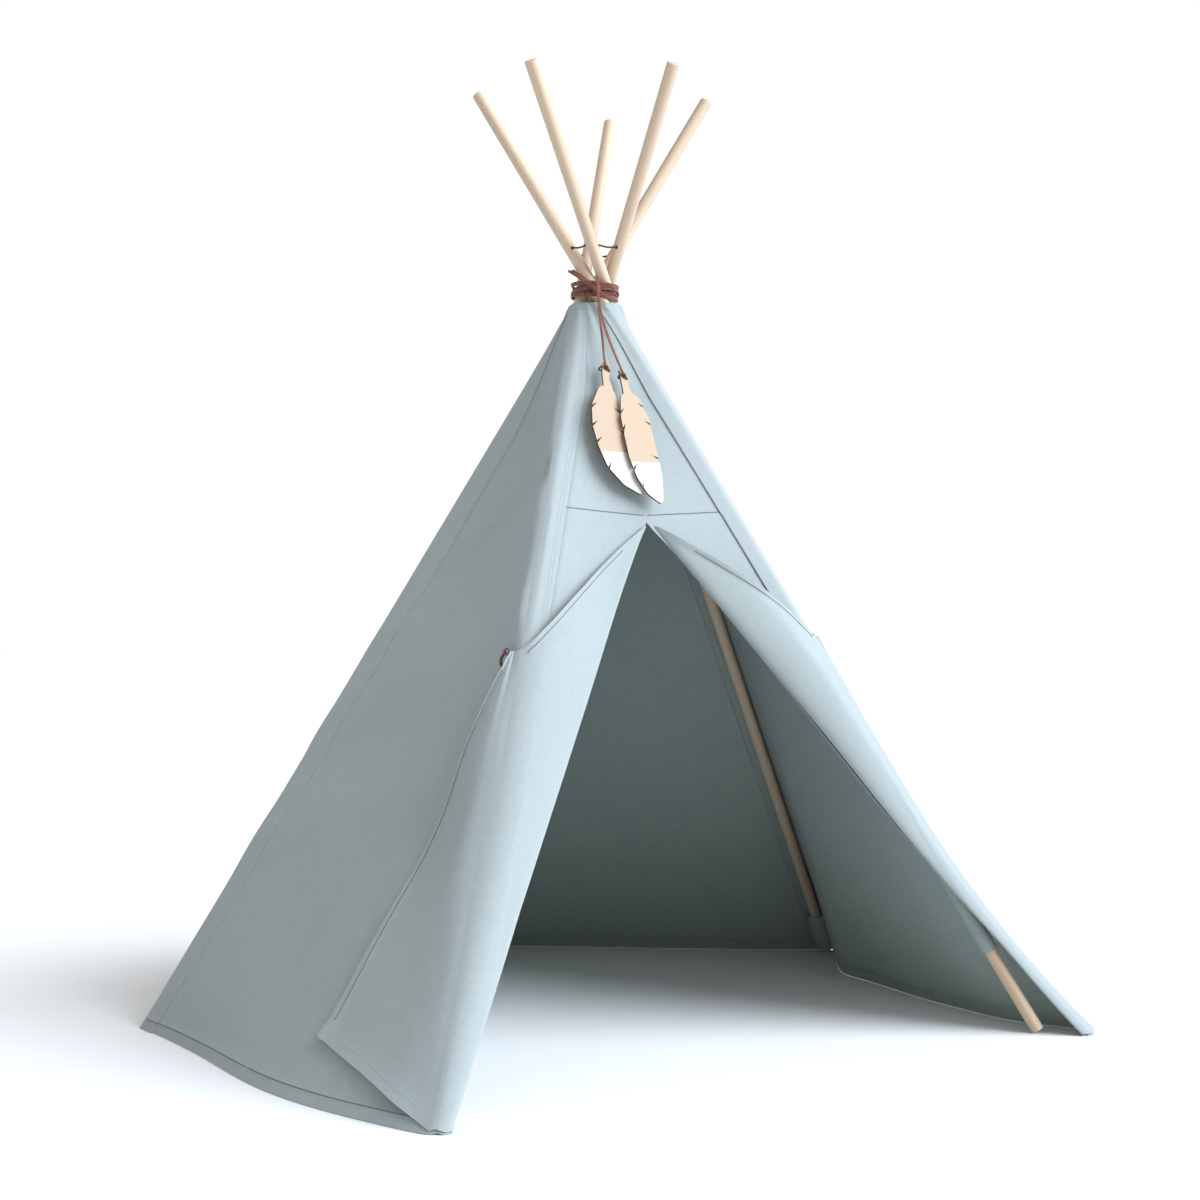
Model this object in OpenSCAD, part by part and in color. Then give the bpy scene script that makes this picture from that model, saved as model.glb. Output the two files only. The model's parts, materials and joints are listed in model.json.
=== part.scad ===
// Children's teepee tent: five poles laced together where they cross, a sewn cover,
// two door flaps folded back over the front edges, and two feathers on laces.
// The tent stands on z = 0, and the door faces -Y.

/* [Frame] */

// Distance from the tent's axis to the foot of each pole.
base_r = 635; // [500:5:750]
// Height at which the poles pass each other.
waist_h = 1068; // [800:2:1300]
// Length of each pole.
pole_len = 1580; // [1300:10:1900]
// Diameter of each pole.
pole_d = 18; // [14:1:24]
// How far each pole passes from the tent's axis at the crossing.
twist = 20; // [18:0.5:30]
// Half of the angle between the two front poles, seen from above.
front_half = 45.8; // [36:0.2:50]
// Angle from the door's direction to each side pole, seen from above.
side_angle = 110.4; // [100:0.2:115]
// Chamfer on both ends of a pole.
pole_chamfer = 1; // [0.5:0.5:2]

/* [Cover] */

// Thickness of the cotton canvas.
cloth_t = 1.2; // [0.8:0.1:2]
// Height of the cover's top edge.
top_h = 1040; // [900:2:1060]
// Height of the cover's lower edge above the floor.
hem_gap = 2; // [1:0.5:5]
// Wall of the sleeves and foot pockets round the poles.
sleeve_t = 1.1; // [0.8:0.1:1.5]
// Height at which the front sleeves end above the feet.
sleeve_low = 112; // [60:2:200]
// Distance from the cover's top edge down to the sleeves.
sleeve_drop = 30; // [25:5:60]
// Height of the foot pockets on the side and back poles.
pocket_h = 66; // [40:2:100]

/* [Door] */

// Height of the door's highest point.
door_h = 712; // [500:2:800]
// Height at which the right edge of the door meets its pole.
door_low = 90; // [0:5:110]
// Width of one door flap along the floor.
flap_w = 320; // [250:5:450]
// Gap between a folded flap and the panel under it.
flap_gap = 1; // [0.4:0.1:2]

/* [Lacing] */

// Height of the drilled holes above the crossing.
hole_rise = 55; // [40:1:80]
// Diameter of the drilled holes.
hole_d = 5; // [4:0.5:6]
// Diameter of the cord through the holes.
cord_d = 2.6; // [2:0.2:3.6]
// Inner radius of the wrapped lace.
wrap_r = 32.6; // [32:0.2:40]
// Width of the flat lace.
lace_w = 4; // [3:0.5:6]
// Number of turns of the wrapped lace.
wrap_turns = 5; // [3:1:7]

/* [Feathers] */

// Thickness of the feathers.
feather_t = 3; // [2:0.5:5]
// Diameter of the lace hole in a feather.
feather_hole_d = 4.4; // [3.6:0.2:6]
// Diameter of the laces that hold the feathers.
lace_d = 3.2; // [2:0.2:4]

/* [Hidden] */

pole_r = pole_d / 2;
fit_gap = 0.35;
sleeve_in = pole_r + fit_gap;
sleeve_out = sleeve_in + sleeve_t;

// Directions of the poles, seen from above.
a_fl = -90 - front_half;
a_fr = -90 + front_half;
a_r = -90 + side_angle;
a_b = 90;
a_l = -90 - side_angle;

// The cover's distance outside the pole axes, and how far it passes each pole.
skin = sleeve_out + 2 * fit_gap + cloth_t / 2;
corner = 6.2;
flap_skin = skin + cloth_t + flap_gap;

// The tent's axis is set back so that the origin is the middle of the footprint.
back_cloth = 14.2;
front_cloth = 9.5;
back_reach = base_r + back_cloth;
front_reach = base_r * cos(front_half) + front_cloth;
axis_y = (front_reach - back_reach) / 2;

reach = sqrt(base_r * base_r + twist * twist);
tilt = atan(reach / waist_h);
foot_z = (pole_r - pole_chamfer) * sin(tilt);

function unit(v) = v / norm(v);
function radial(a) = [cos(a), sin(a), 0];
function tangent(a) = [-sin(a), cos(a), 0];
function foot(a) = base_r * radial(a) + [0, axis_y, foot_z];
function waist(a) = [0, axis_y, waist_h] - twist * tangent(a);
function pole_dir(a) = unit(waist(a) - foot(a));
function heading(a) = atan2(pole_dir(a)[1], pole_dir(a)[0]);
function lean(a) = acos(pole_dir(a)[2]);
function at(a, z) = foot(a) + pole_dir(a) * (z - foot(a)[2]) / pole_dir(a)[2];

// A panel runs from pole a1 to pole a2, counted the way the tent is walked round.
function chord(a1, a2, z) = norm(at(a2, z) - at(a1, z));
function along(a1, a2, z) = unit(at(a2, z) - at(a1, z));
function slope(a1, a2) = atan(base_r * cos((a2 - a1) / 2) / waist_h);
function flat_out(a1, a2, z) = [along(a1, a2, z)[1], -along(a1, a2, z)[0], 0];
function outward(a1, a2, z) = flat_out(a1, a2, z) * cos(slope(a1, a2)) + [0, 0, sin(slope(a1, a2))];
function on_panel(a1, a2, z, x, h) = at(a1, z) + along(a1, a2, z) * x + outward(a1, a2, z) * h;

// Height at which the flap's free edge crosses the pole.
flap_cross = door_h * 0.775;

// Heights of the rows that a panel is built from, closer together where it twists most.
row_step = 60;
flap_rows = [for (z = [row_step : row_step : flap_cross - row_step / 10]) z];
flap_top = flap_rows[len(flap_rows) - 1];
middle_rows = [for (z = [flap_top + row_step : row_step : door_h + row_step / 2]) z];
high_rows = [760, 820, 880, 930, 970, 1000, 1022, top_h];
panel_rows = concat([hem_gap], flap_rows, middle_rows, high_rows);
upper_rows = concat([door_h + flap_gap], high_rows);

// Width of the strip between a front pole and the door's edge, which meets the pole at height low.
function gore_w(z, low) = chord(a_fl, a_fr, door_h) / 2 * (z - low) / (door_h - low);

// The flap's free edge crosses the pole at flap_cross and ends at its loose corner.
flap_corner_h = 2 * row_step;
flap_corner_w = flap_w * 0.8;
flap_low = hem_gap + 6;
flap_tail = 12;
function flap_out(z) = z < flap_corner_h
  ? flap_tail + (flap_corner_w - flap_tail) * (z - flap_low) / (flap_corner_h - flap_low)
  : flap_tail + (flap_corner_w - flap_tail) * (flap_top - z) / (flap_top - flap_corner_h);

pocket_low = foot_z + 6;
cord_h = waist_h + hole_rise;

// The wrap's turns, the knot on it and the bow beside the knot.
wrap_low = waist_h - 15;
turn_step = lace_w + 0.4;
turn_t = 1.8;
turn_shift = 0.8;
knot_r = 4.2;
knot_a = -116;
knot_at = radial(knot_a) * (wrap_r + knot_r + 0.2) + [0, axis_y, waist_h - 6];
bow_r = 7;
bow_t = 2.6;
bow_side = 11;
bow_out = 2;

front_slope = slope(a_fl, a_fr);

// Circles that each feather's outline is drawn round: across, along and radius.
left_vane = [
  [-8, -56, 15], [-14, -82, 23.5], [-17, -108, 25], [-16, -135, 24],
  [-12, -162, 21.5], [-2, -188, 14], [12, -209, 3]
];
right_vane = [
  [3.5, -55, 17], [4.5, -82, 23.5], [4, -110, 24], [4.5, -140, 24.5],
  [6.5, -168, 21.5], [9.5, -190, 15], [14, -203, 8], [16, -211, 2.5]
];
left_stem = [[-10, -46], [5, -46], [2, -30], [7, -12], [10, -4], [3, 2], [-5, -6], [-8, -28]];
right_stem = [[-6, -46], [10, -46], [6, -28], [7, -8], [2, 2], [-5, -3], [-5, -28]];

// Narrow cuts into each feather's edges: across, along, and the direction of the cut.
left_cuts = [
  [-37, -76, 35], [-42.5, -106, 35], [-40.5, -132, 40], [-31, -174, 60],
  [9, -84, 140], [7.5, -118, 135], [9.5, -152, 130]
];
right_cuts = [
  [23.5, -62, 140], [28.5, -90, 140], [29, -144, 150],
  [-19, -73, 45], [-20, -100, 60], [-17, -162, 50], [-10, -194, 70]
];
cut_len = 13;
cut_w = 2.6;
cut_start = 5;
hole_down = 12;

// Where the feathers hang: across the front, height of the top, and distance off the front plane.
left_hang = [-32, 937, 25.5];
right_hang = [-10, 923, 32.5];

front_normal = [0, -cos(front_slope), sin(front_slope)];
feather_knot_r = 2.6;
knot_off = feather_t / 2 + feather_knot_r + 0.3;
function front_plane(x, z, h) = [x, axis_y - (waist_h - z) * tan(front_slope), z] + front_normal * h;
function hang_point(g) = front_plane(g[0], g[1] - hole_down * cos(front_slope), g[2]);

// The laces' routes, as points across, above and off the front plane, from the knot to each feather.
left_route = [
  front_plane(-20, 1058, 37.5),
  front_plane(-22, 1046, 37),
  front_plane(-24, 1030, 35),
  front_plane(-26, 1002, 32.5),
  front_plane(-28.5, 970, 30.5),
  front_plane(-32, 941, 29.5),
  hang_point(left_hang) + front_normal * knot_off
];
right_route = [
  front_plane(-21, 1058, 42.5),
  front_plane(-23, 1046, 42.5),
  front_plane(-26, 1030, 41.5),
  front_plane(-27.5, 1002, 40),
  front_plane(-24, 970, 38.5),
  front_plane(-17, 939, 37),
  hang_point(right_hang) + front_normal * knot_off
];

smooth = 48;
fine = 32;
coarse = 16;
thin_sides = 8;

module on_pole(a) {
  translate(foot(a)) rotate([0, lean(a), heading(a)]) children();
}

// A turned pole with a hole drilled across it for the cord.
module pole(a) {
  color("BurlyWood") difference() {
    on_pole(a) rotate_extrude($fn = smooth) polygon([
      [0, 0],
      [pole_r - pole_chamfer, 0],
      [pole_r, pole_chamfer],
      [pole_r, pole_len - pole_chamfer],
      [pole_r - pole_chamfer, pole_len],
      [0, pole_len]
    ]);
    translate(at(a, cord_h))
      rotate([90, 0, hole_heading(a)])
        cylinder(h = 2 * pole_d, d = hole_d, center = true, $fn = smooth);
  }
}

// The hole runs level, across the line from the tent's axis to the pole.
function hole_heading(a) = atan2(at(a, cord_h)[1] - axis_y, at(a, cord_h)[0]);
function hole_dir(a) = tangent(hole_heading(a));

// A tube of cloth round a pole, between two heights.
module sleeve(a, low, high) {
  s1 = (low - foot_z) / cos(tilt);
  s2 = (high - foot_z) / cos(tilt);
  color("LightSteelBlue") on_pole(a) translate([0, 0, s1]) difference() {
    cylinder(h = s2 - s1, r = sleeve_out, $fn = smooth);
    translate([0, 0, -1]) cylinder(h = s2 - s1 + 2, r = sleeve_in, $fn = smooth);
  }
}

// A thin sheet through rows of four corners, from the lowest row to the highest.
module sheet(rows) {
  n = len(rows);
  points = [for (r = rows) each r];
  inner_walls = [for (i = [0 : n - 2], j = [0, 1], h = [0, 1])
    let (lo = 4 * i + j, hi = lo + 4)
    h == 0 ? [lo, lo + 1, hi + 1] : [lo, hi + 1, hi]];
  outer_walls = [for (i = [0 : n - 2], j = [2, 3], h = [0, 1])
    let (lo = 4 * i + j, hi = lo + 4, next = j == 3 ? -3 : 1)
    h == 0 ? [lo, lo + next, hi] : [lo + next, hi + next, hi]];
  ends = [[3, 2, 1], [3, 1, 0], [4 * n - 4, 4 * n - 3, 4 * n - 2], [4 * n - 4, 4 * n - 2, 4 * n - 1]];
  polyhedron(points = points, faces = concat(ends, inner_walls, outer_walls), convexity = 4);
}

// Part of a panel: each cut is a height with the two edges, measured from pole a1.
module panel(a1, a2, cuts, h) {
  color("LightSteelBlue") sheet([for (c = cuts) [
    on_panel(a1, a2, c[0], c[1], h - cloth_t / 2),
    on_panel(a1, a2, c[0], c[2], h - cloth_t / 2),
    on_panel(a1, a2, c[0], c[2], h + cloth_t / 2),
    on_panel(a1, a2, c[0], c[1], h + cloth_t / 2)
  ]]);
}

module full_panel(a1, a2, heights) {
  panel(a1, a2, [for (z = heights) [z, -corner, chord(a1, a2, z) + corner]], skin);
}

// Mirrors a set of cuts so that they are measured from the other pole.
function swap_cuts(a1, a2, cuts) = [
  for (c = cuts) [c[0], chord(a1, a2, c[0]) - c[2], chord(a1, a2, c[0]) - c[1]]
];

// A flap stops just under the top of the door, where it has narrowed to a point.
flap_top_h = door_h - 6;
flap_tip = 6;
door_rows = concat(flap_rows, [flap_cross, 600, 655]);
function flap_in(z) = z <= flap_cross
  ? -corner
  : (gore_w(flap_top_h, 0) - flap_tip + corner) * (z - flap_cross) / (flap_top_h - flap_cross) - corner;
function rows_above(low) = [for (z = door_rows) if (z > low) z];
function gore_cuts(low) = [
  for (z = concat(rows_above(low), [door_h - flap_gap])) [z, -corner, gore_w(z, low) - flap_gap]
];
function inner_cuts(low) = [
  for (z = concat(rows_above(low), [flap_top_h])) [z, flap_in(z), gore_w(z, low) - flap_gap]
];
outer_cuts = [for (z = concat([flap_low], flap_rows)) [z, -corner, flap_out(z)]];

// A flat strap of leather round the flap's rolled edge.
tie_drop = 18;
tie_side = 16;
tie_half = 12;
tie_end_r = 3;
tie_mid_r = 4.5;
tie_t = 2.4;
tie_turn = 35;
module tie(a1, a2, from_right) {
  z = flap_cross - tie_drop;
  x = from_right ? chord(a1, a2, z) - tie_side : tie_side;
  p = on_panel(a1, a2, z, x, flap_skin + cloth_t / 2 + fit_gap);
  o = outward(a1, a2, z);
  color("SaddleBrown") translate(p) rotate([0, 90 - asin(o[2]), atan2(o[1], o[0])])
    rotate([0, 0, from_right ? tie_turn : -tie_turn]) linear_extrude(height = tie_t) hull() {
      translate([-tie_half, 0]) circle(r = tie_end_r, $fn = smooth);
      translate([0, tie_end_r]) circle(r = tie_mid_r, $fn = smooth);
      translate([tie_half, 0]) circle(r = tie_end_r, $fn = smooth);
    }
}

// A tube swept along a list of points.
module tube(pts, d, sides, ring = false) {
  n = len(pts);
  up = [0.31, 0.12, 0.94];
  points = [for (i = [0 : n - 1])
    let (
      before = pts[i > 0 ? i - 1 : (ring ? n - 1 : 0)],
      after = pts[i < n - 1 ? i + 1 : (ring ? 0 : n - 1)],
      t = unit(after - before),
      u = unit(cross(t, ring ? [0, 0, 1] : [1, 0.2, 0])),
      v = cross(t, u)
    )
    for (j = [0 : sides - 1]) pts[i] + (u * cos(360 * j / sides) + v * sin(360 * j / sides)) * d / 2];
  last = ring ? n - 1 : n - 2;
  walls = [for (i = [0 : last], j = [0 : sides - 1])
    let (k = (j + 1) % sides, m = (i + 1) % n)
    [i * sides + j, m * sides + j, m * sides + k, i * sides + k]];
  first_cap = [for (j = [0 : sides - 1]) j];
  last_cap = [for (j = [sides - 1 : -1 : 0]) (n - 1) * sides + j];
  caps = ring ? [] : [first_cap, last_cap];
  polyhedron(points = points, faces = concat(walls, caps), convexity = 6);
}

// The thin cord passes through the hole of each pole in turn.
cord_half = pole_r + 2;
pole_angles = [a_fl, a_fr, a_r, a_b, a_l];
module threaded_cord() {
  route = [for (a = pole_angles, s = [-1, -0.5, 0.5, 1]) at(a, cord_h) + hole_dir(a) * s * cord_half];
  color("DimGray") tube(route, cord_d, thin_sides, true);
}

// Turns of flat lace lying on each other round the crossing.
module lace_wrap() {
  color("SaddleBrown") translate([0, axis_y, wrap_low]) rotate_extrude($fn = 2 * smooth)
    for (i = [0 : wrap_turns - 1])
      translate([wrap_r + (i % 2) * turn_shift, i * turn_step]) square([turn_t, turn_step + 0.4]);
}

module lace_knot() {
  color("SaddleBrown") translate(knot_at) scale([1, 1, 1.1]) sphere(r = knot_r, $fn = fine);
}

module lace_bow() {
  color("SaddleBrown")
    translate(knot_at + tangent(knot_a) * bow_side + radial(knot_a) * bow_out)
      rotate([90, 0, knot_a + 90])
        rotate_extrude($fn = smooth) translate([bow_r, 0]) circle(d = bow_t, $fn = coarse);
}

module vane_outline(vane) {
  for (i = [0 : len(vane) - 2]) hull() {
    translate([vane[i][0], vane[i][1]]) circle(r = vane[i][2], $fn = fine);
    translate([vane[i + 1][0], vane[i + 1][1]]) circle(r = vane[i + 1][2], $fn = fine);
  }
}

module feather(vane, stem, cuts, hang) {
  notch = [[-cut_start, -cut_w], [cut_len, 0], [-cut_start, cut_w]];
  color("Wheat")
    translate(front_plane(hang[0], hang[1], hang[2]))
      rotate([90 - front_slope, 0, 0])
        linear_extrude(height = feather_t, center = true) difference() {
          union() {
            vane_outline(vane);
            polygon(stem);
          }
          for (c = cuts) translate([c[0], c[1]]) rotate([0, 0, c[2]]) polygon(notch);
          translate([0, -hole_down]) circle(d = feather_hole_d, $fn = fine);
        }
}

// The small knot that holds the lace on the front of a feather.
module feather_knot(hang) {
  color("SaddleBrown")
    translate(hang_point(hang) + front_normal * knot_off) sphere(r = feather_knot_r, $fn = 24);
}

module pole_front_left() { pole(a_fl); }
module pole_front_right() { pole(a_fr); }
module pole_right() { pole(a_r); }
module pole_back() { pole(a_b); }
module pole_left() { pole(a_l); }
module sleeve_front_left() { sleeve(a_fl, sleeve_low, top_h - sleeve_drop); }
module sleeve_front_right() { sleeve(a_fr, sleeve_low, top_h - sleeve_drop); }
module pocket_right() { sleeve(a_r, pocket_low, pocket_h + foot_z); }
module pocket_back() { sleeve(a_b, pocket_low, pocket_h + foot_z); }
module pocket_left() { sleeve(a_l, pocket_low, pocket_h + foot_z); }
module front_upper_panel() { full_panel(a_fl, a_fr, upper_rows); }
module front_left_gore() { panel(a_fl, a_fr, gore_cuts(0), skin); }
module front_right_gore() { panel(a_fl, a_fr, swap_cuts(a_fl, a_fr, gore_cuts(door_low)), skin); }
module side_right_panel() { full_panel(a_fr, a_r, panel_rows); }
module back_right_panel() { full_panel(a_r, a_b, panel_rows); }
module back_left_panel() { full_panel(a_b, a_l + 360, panel_rows); }
module side_left_panel() { full_panel(a_l, a_fl, panel_rows); }
module flap_left_inner() { panel(a_fl, a_fr, inner_cuts(0), flap_skin); }
module flap_right_inner() { panel(a_fl, a_fr, swap_cuts(a_fl, a_fr, inner_cuts(door_low)), flap_skin); }
module flap_right_outer() { panel(a_fr, a_r, outer_cuts, flap_skin); }
module flap_left_outer() { panel(a_l, a_fl, swap_cuts(a_l, a_fl, outer_cuts), flap_skin); }
module tie_left() { tie(a_l, a_fl, true); }
module tie_right() { tie(a_fr, a_r, false); }
module lace_left() { color("SaddleBrown") tube(left_route, lace_d, thin_sides); }
module lace_right() { color("SaddleBrown") tube(right_route, lace_d, thin_sides); }
module feather_left() { feather(left_vane, left_stem, left_cuts, left_hang); }
module feather_right() { feather(right_vane, right_stem, right_cuts, right_hang); }
module feather_knot_left() { feather_knot(left_hang); }
module feather_knot_right() { feather_knot(right_hang); }

pole_front_left();
pole_front_right();
pole_right();
pole_back();
pole_left();
sleeve_front_left();
sleeve_front_right();
pocket_right();
pocket_back();
pocket_left();
front_upper_panel();
front_left_gore();
front_right_gore();
side_right_panel();
back_right_panel();
back_left_panel();
side_left_panel();
flap_left_inner();
flap_left_outer();
flap_right_inner();
flap_right_outer();
tie_left();
tie_right();
threaded_cord();
lace_wrap();
lace_knot();
lace_bow();
lace_left();
feather_left();
feather_knot_left();
lace_right();
feather_right();
feather_knot_right();
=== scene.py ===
import json
import math

import bpy
import numpy as np
from mathutils import Matrix, Vector


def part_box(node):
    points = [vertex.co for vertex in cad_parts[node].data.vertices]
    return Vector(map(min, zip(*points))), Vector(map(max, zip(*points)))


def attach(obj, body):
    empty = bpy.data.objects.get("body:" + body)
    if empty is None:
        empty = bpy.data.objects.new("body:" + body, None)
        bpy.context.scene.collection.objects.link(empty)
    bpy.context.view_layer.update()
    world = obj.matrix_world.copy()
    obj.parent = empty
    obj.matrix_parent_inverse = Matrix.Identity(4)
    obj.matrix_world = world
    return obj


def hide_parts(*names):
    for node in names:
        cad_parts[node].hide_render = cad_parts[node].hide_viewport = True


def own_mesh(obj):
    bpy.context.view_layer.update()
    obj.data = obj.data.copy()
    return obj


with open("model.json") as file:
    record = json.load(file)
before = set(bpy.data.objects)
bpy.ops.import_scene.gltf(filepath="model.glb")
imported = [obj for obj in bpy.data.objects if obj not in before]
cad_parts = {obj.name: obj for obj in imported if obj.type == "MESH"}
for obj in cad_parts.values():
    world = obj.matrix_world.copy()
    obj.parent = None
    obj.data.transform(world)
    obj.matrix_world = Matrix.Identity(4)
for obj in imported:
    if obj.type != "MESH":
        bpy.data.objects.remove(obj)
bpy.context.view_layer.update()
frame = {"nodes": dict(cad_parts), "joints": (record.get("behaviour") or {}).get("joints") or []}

# ---------------------------------------------------------------- sizes, in metres
# The poles' cone, as in the CAD.
BASE_R = 0.635
WAIST_H = 1.068
POLE_R = 0.009
TWIST = 0.020
CHAMFER = 0.001
FOLD_ANGLE = math.radians(26)

# The meshes.
SHARP = math.radians(48)
NOTHING = 1e-12
STRIP_UV = 0.002

# The cloth, the soft bends round the poles, its seams, hems and stitches.
CLOTH_T = 0.0012
STITCH_OVER = CLOTH_T / 2 + 0.0001
ROUND_COVER = 0.024
ROUND_FLAP = 0.075
SKIN = 0.01175
BEND_SETTLES = 0.09
THREAD = 0.0011
TOP_H = 1.040
HEM_LOW = 0.0005
HEM_BAND = 0.014
SEAM_AT = 0.026
SEAM_WIDE = 0.042
SEAM_RISE = 0.0010
SEAM_BOLD = 0.0022
SEAM_DIP = 0.010
COLUMN_STEP = 0.012
HEM_RISE = 0.0008
TOP_BAND = 0.010
TOP_RISE = 0.0007
ROW_GAP = 0.001
STITCH_PITCH = 0.0042
FINE_STITCH = (0.0026, 0.0006)
BOLD_STITCH = (0.0037, 0.0009)

# The door and its folded flaps.
DOOR_H = 0.712
DOOR_LOW = {"front_left": 0.0, "front_right": 0.090}
SEAM_H = 0.718
FLAP_CROSS = {"front_left": 0.534, "front_right": 0.552}
FLAP_TOP = 0.706
EDGE_SHARE = 0.35
FLAP_GAP = 0.0028
FLAP_CORNER = {"front_left": (0.203, 0.070), "front_right": (0.257, 0.067)}
FLAP_BOW = {"front_left": -0.05, "front_right": 0.10}
FLAP_ARCH = {"front_left": 0.012, "front_right": 0.0}
FLAP_EDGE = {"front_left": 0.0030, "front_right": 0.0011}
FOOT_COVER = 0.009
FOOT_ROLL = 0.020
ROLL = {"front_left": (0.007, 0.0035), "front_right": (0.058, 0.024)}

# The sleeves and pockets round the poles.
SLEEVE_LOW = 0.112
SLEEVE_TOP = 1.010
SLEEVE_R = 0.0112
POCKET_LOW = 0.011
POCKET_TOP = 0.070
POCKET_R = (0.0165, 0.0114)

# The cords and the feathers.
HOLE_RISE = 0.055
CORD_D = 0.0026
LACE_W = 0.0040
LACE_T = 0.0013
TURN_SIZE = (0.0060, 0.0020)
FEATHER_DOWN = 0.012
WHITE_FROM = 0.136

# ---------------------------------------------------------------- camera
CAM_AZ = math.radians(-30.3088)
CAM_EL = math.radians(-0.7362)
CAM_DIST = 2.7362
CAM_TARGET = (0.0058, -0.0034, 0.605)
CAM_LENS = 55.485
CAM_SENSOR = 36.0

# ---------------------------------------------------------------- light
WORLD_LIGHT = 0.66
KEY_FROM = (0.60, -0.68, 0.55)
KEY_SOFT = math.radians(52)
KEY_POWER = 5.6
KEY_COLOUR = (0.80, 0.89, 1.0)
SKY_LOW = (0.42, 0.43, 0.43, 1)
SKY_FULL_AT = 0.65
WHITE = (1, 1, 1, 1)
FLOOR_HALF = 30.0
FLOOR_COLOUR = (0.86, 0.86, 0.855, 1)


def round_angles(count):
    return np.linspace(0, 2 * math.pi, count, endpoint=False)


def unit(v):
    v = np.asarray(v, float)
    return v / np.linalg.norm(v, axis=-1, keepdims=True)


# ---------------------------------------------------------------- the poles' lines, from the frame's joints
FOLD = {
    "front_left": "fold_front_left", "front_right": "fold_front_right",
    "right": "fold_right", "back": "fold", "left": "fold_left",
}
ORDER = ["front_left", "front_right", "right", "back", "left"]
joints = {j["name"]: j for j in frame["joints"]}
WAIST, TANGENT, RADIAL, FOOT, DIR = {}, {}, {}, {}, {}
for name in ORDER:
    joint = joints[FOLD[name]]
    WAIST[name] = np.array(joint["pos_m"], float)
    TANGENT[name] = unit(joint["axis"])
    RADIAL[name] = np.array([TANGENT[name][1], -TANGENT[name][0], 0.0])
axis_xy = np.mean([WAIST[n] + TWIST * TANGENT[n] for n in ORDER], axis=0)
AXIS = np.array([axis_xy[0], axis_xy[1], 0.0])
TILT = math.atan(math.hypot(BASE_R, TWIST) / WAIST_H)
FOOT_Z = (POLE_R - CHAMFER) * math.sin(TILT)
for name in ORDER:
    FOOT[name] = AXIS + BASE_R * RADIAL[name] + [0, 0, FOOT_Z]
    DIR[name] = unit(WAIST[name] - FOOT[name])
RIGHT = np.array([1.0, 0, 0])
UP = np.array([0, 0, 1.0])


def at(name, z):
    """Points on a pole's line at heights z."""
    z = np.asarray(z, float)
    return FOOT[name] + DIR[name] * ((z - FOOT[name][2]) / DIR[name][2])[..., None]


camera_back = np.array([
    math.sin(CAM_AZ) * math.cos(CAM_EL), -math.cos(CAM_AZ) * math.cos(CAM_EL), math.sin(CAM_EL),
])
camera_data = bpy.data.cameras.new("camera")
camera_data.lens = CAM_LENS
camera_data.sensor_width = CAM_SENSOR
camera_data.clip_start = 0.01
camera = bpy.data.objects.new("camera", camera_data)
bpy.context.scene.collection.objects.link(camera)
camera.location = Vector(AXIS + np.array(CAM_TARGET) + camera_back * CAM_DIST)
camera.rotation_euler = Vector(camera_back).to_track_quat("Z", "Y").to_euler()
bpy.context.scene.camera = camera


# ---------------------------------------------------------------- mesh helpers
def add_object(name, verts, faces, uvs):
    mesh = bpy.data.meshes.new(name)
    mesh.from_pydata([tuple(v) for v in verts], [], [tuple(f) for f in faces])
    layer = mesh.uv_layers.new(name="UVMap")
    index = np.zeros(len(mesh.loops), int)
    mesh.loops.foreach_get("vertex_index", index)
    layer.data.foreach_set("uv", np.asarray(uvs, np.float32)[index].ravel())
    mesh.validate()
    for p in mesh.polygons:
        p.use_smooth = True
    mesh.set_sharp_from_angle(angle=SHARP)
    obj = bpy.data.objects.new(name, mesh)
    bpy.context.scene.collection.objects.link(obj)
    return obj


def grid_normals(points):
    n = np.cross(np.gradient(points, axis=1), np.gradient(points, axis=0))
    size = np.linalg.norm(n, axis=-1, keepdims=True)
    n = n / np.maximum(size, NOTHING)
    bad = size[..., 0] < NOTHING
    if bad.any():
        n[bad] = unit(n[~bad].mean(axis=0))
    return n


def faces_inward(normals, outside):
    return (normals.reshape(-1, 3) @ np.asarray(outside)).mean() < 0


def outward_normals(points, outside):
    n = grid_normals(points)
    return -n if faces_inward(n, outside) else n


def cloth(name, points, uv, outside):
    """A closed thin sheet through a grid of points; outside is a rough outward direction."""
    rows, cols = points.shape[:2]
    n = grid_normals(points)
    flip = faces_inward(n, outside)
    n = -n if flip else n
    outer = points + n * CLOTH_T / 2
    inner = points - n * CLOTH_T / 2
    verts = np.concatenate([outer.reshape(-1, 3), inner.reshape(-1, 3)])
    count = rows * cols
    faces = []
    for i in range(rows - 1):
        for j in range(cols - 1):
            a, b, c, d = i * cols + j, i * cols + j + 1, (i + 1) * cols + j + 1, (i + 1) * cols + j
            front, back = (a, b, c, d), (count + a, count + d, count + c, count + b)
            if flip:
                front, back = (a, d, c, b), (count + a, count + b, count + c, count + d)
            faces += [front, back]
    edge = [i * cols for i in range(rows)] + [(rows - 1) * cols + j for j in range(1, cols)]
    edge += [i * cols + cols - 1 for i in range(rows - 2, -1, -1)] + list(range(cols - 2, 0, -1))
    for k in range(len(edge)):
        a, b = edge[k], edge[(k + 1) % len(edge)]
        faces.append((a, count + a, count + b, b) if flip else (a, b, count + b, count + a))
    uvs = np.concatenate([uv.reshape(-1, 2), uv.reshape(-1, 2)])
    return add_object(name, verts, faces, uvs)


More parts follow.
